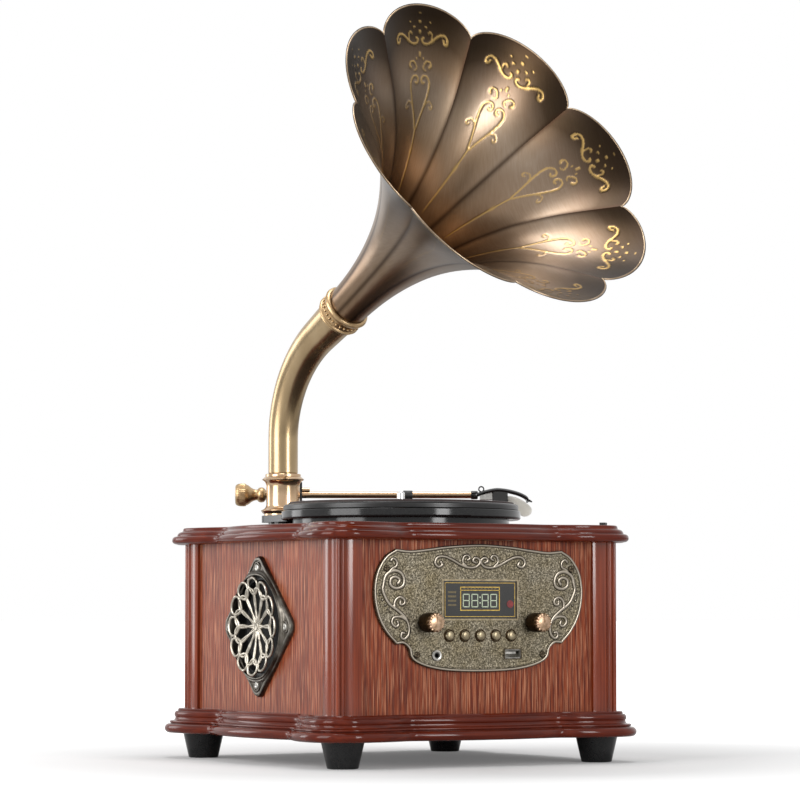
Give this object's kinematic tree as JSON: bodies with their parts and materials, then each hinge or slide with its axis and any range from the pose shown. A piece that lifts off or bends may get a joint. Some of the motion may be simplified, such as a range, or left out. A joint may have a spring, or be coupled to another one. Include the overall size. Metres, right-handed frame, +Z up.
{
  "type": "horn gramophone",
  "caption": "Table gramophone with a petal horn on a brass elbow, a turntable with tone arm, and a bowed wooden cabinet with a display plate and side grilles.",
  "frame": {"origin": "on the floor, under the middle of the whole object's bounding box", "axes": "+Z is up, the front plate and the horn's mouth face -Y, +X is to the right seen from the front"},
  "size_m": [0.32, 0.4236, 0.6451],
  "materials": {
    "veneer": "open-grain red mahogany veneer, satin lacquer",
    "mahogany": "solid mahogany mouldings, high-gloss lacquer",
    "black_lacquer": "gloss black moulded plastic",
    "black_rubber": "ribbed rubber mat",
    "dark_plastic": "satin black plastic",
    "grey_plastic": "light grey moulded plastic",
    "smoke_window": "dark smoked window",
    "red_lens": "translucent red lens",
    "clear_plastic": "milky translucent plastic",
    "antique_bronze": "antique bronze plating, stippled and brushed",
    "horn_bronze": "brushed antique bronze sheet",
    "polished_brass": "polished lacquered brass",
    "aged_brass": "brushed aged brass",
    "steel": "plated steel",
    "chrome": "polished chrome",
    "platter_metal": "black coated aluminium",
    "paper": "black pressed paper cone",
    "circuit": "green circuit board with parts",
    "black_steel": "black painted pressed steel",
    "drive_rubber": "flat drive belt"
  },
  "bodies": {
    "cabinet": {"foot_front_left": "black_lacquer", "foot_front_right": "black_lacquer", "foot_rear_left": "black_lacquer", "foot_rear_right": "black_lacquer", "base_moulding": "mahogany", "base_board": "mahogany", "top_board": "mahogany", "post_front_left": "mahogany", "post_front_right": "mahogany", "post_rear_left": "mahogany", "post_rear_right": "mahogany", "front_panel": "veneer", "left_panel": "veneer", "right_panel": "veneer", "rear_panel": "veneer", "front_plate": "antique_bronze", "plate_screws": "aged_brass", "display_window": "smoke_window", "infra_red_lens": "red_lens", "control_board": "circuit", "jack_socket": "dark_plastic", "usb_socket": "steel", "grille_left": "antique_bronze", "grille_right": "antique_bronze", "grille_screws": "steel", "driver_left": "black_steel", "driver_right": "black_steel", "cone_left": "paper", "cone_right": "paper", "main_board": "circuit", "mains_inlet": "dark_plastic", "deck": "black_lacquer", "motor": "steel", "belt": "drive_rubber", "arm_base": "dark_plastic", "arm_rest": "dark_plastic", "horn_post": "polished_brass", "post_nut": "steel"},
    "platter": {"platter": "platter_metal", "mat": "black_rubber", "spindle": "chrome"},
    "pulley": {"pulley": "grey_plastic"},
    "arm_yoke": {"arm_yoke": "dark_plastic"},
    "tone_arm": {"arm_tube": "polished_brass", "counterweight": "aged_brass", "head_shell": "black_lacquer", "cartridge": "dark_plastic"},
    "stylus_guard": {"stylus_guard": "clear_plastic"},
    "horn": {"elbow": "polished_brass", "elbow_collar": "aged_brass", "horn_bell": "horn_bronze"},
    "volume_knob": {"volume_knob": "aged_brass"},
    "tuning_knob": {"tuning_knob": "aged_brass"},
    "speed_selector": {"speed_selector": "dark_plastic"},
    "button_1": {"button_1": "antique_bronze"},
    "button_2": {"button_2": "antique_bronze"},
    "button_3": {"button_3": "antique_bronze"},
    "button_4": {"button_4": "antique_bronze"},
    "button_5": {"button_5": "antique_bronze"}
  },
  "joints": [
    {"name": "platter_spin", "type": "hinge", "parent": "cabinet", "child": "platter", "pos_m": [-0.00874, 0.03002, 0.215], "axis": [0, 0, -1], "continuous": true},
    {"name": "pulley_spin", "type": "hinge", "parent": "cabinet", "child": "pulley", "pos_m": [-0.08174, 0.03002, 0.21], "axis": [0, 0, -1], "continuous": true},
    {"name": "arm_swing", "type": "hinge", "parent": "cabinet", "child": "arm_yoke", "pos_m": [-0.03374, 0.17202, 0.2265], "axis": [0, 0, -1], "range_deg": [0, 48]},
    {"name": "arm_lift", "type": "hinge", "parent": "arm_yoke", "child": "tone_arm", "pos_m": [-0.03374, 0.17202, 0.2335], "axis": [-0.4848, -0.8746, 0], "range_deg": [0, 10]},
    {"name": "guard_slide", "type": "slide", "parent": "tone_arm", "child": "stylus_guard", "axis": [0.8046, -0.446, -0.392], "range_m": [0, 0.022]},
    {"name": "horn_turn", "type": "hinge", "parent": "cabinet", "child": "horn", "pos_m": [-0.06124, 0.14772, 0.2512], "axis": [0, 0, 1], "range_deg": [-90, 90]},
    {"name": "volume_turn", "type": "hinge", "parent": "cabinet", "child": "volume_knob", "pos_m": [-0.05224, -0.08588, 0.1193], "axis": [0, -1, 0], "range_deg": [-150, 150]},
    {"name": "tuning_turn", "type": "hinge", "parent": "cabinet", "child": "tuning_knob", "pos_m": [0.05276, -0.08588, 0.1193], "axis": [0, -1, 0], "continuous": true},
    {"name": "button_1_press", "type": "slide", "parent": "cabinet", "child": "button_1", "axis": [0, 1, 0], "range_m": [0, 0.0012], "stiffness_N_per_m": 500, "springref_m": -0.0012},
    {"name": "button_2_press", "type": "slide", "parent": "cabinet", "child": "button_2", "axis": [0, 1, 0], "range_m": [0, 0.0012], "stiffness_N_per_m": 500, "springref_m": -0.0012},
    {"name": "button_3_press", "type": "slide", "parent": "cabinet", "child": "button_3", "axis": [0, 1, 0], "range_m": [0, 0.0012], "stiffness_N_per_m": 500, "springref_m": -0.0012},
    {"name": "button_4_press", "type": "slide", "parent": "cabinet", "child": "button_4", "axis": [0, 1, 0], "range_m": [0, 0.0012], "stiffness_N_per_m": 500, "springref_m": -0.0012},
    {"name": "button_5_press", "type": "slide", "parent": "cabinet", "child": "button_5", "axis": [0, 1, 0], "range_m": [0, 0.0012], "stiffness_N_per_m": 500, "springref_m": -0.0012},
    {"name": "speed_slide", "type": "slide", "parent": "cabinet", "child": "speed_selector", "axis": [0.7071, 0.7071, 0], "range_m": [-0.0027, 0.0027]}
  ],
  "couplings": [
    {"joint": "pulley_spin", "follows": "platter_spin", "ratio": 10.707},
    {"joint": "arm_lift", "follows": "arm_swing", "ratio": 0.2}
  ]
}
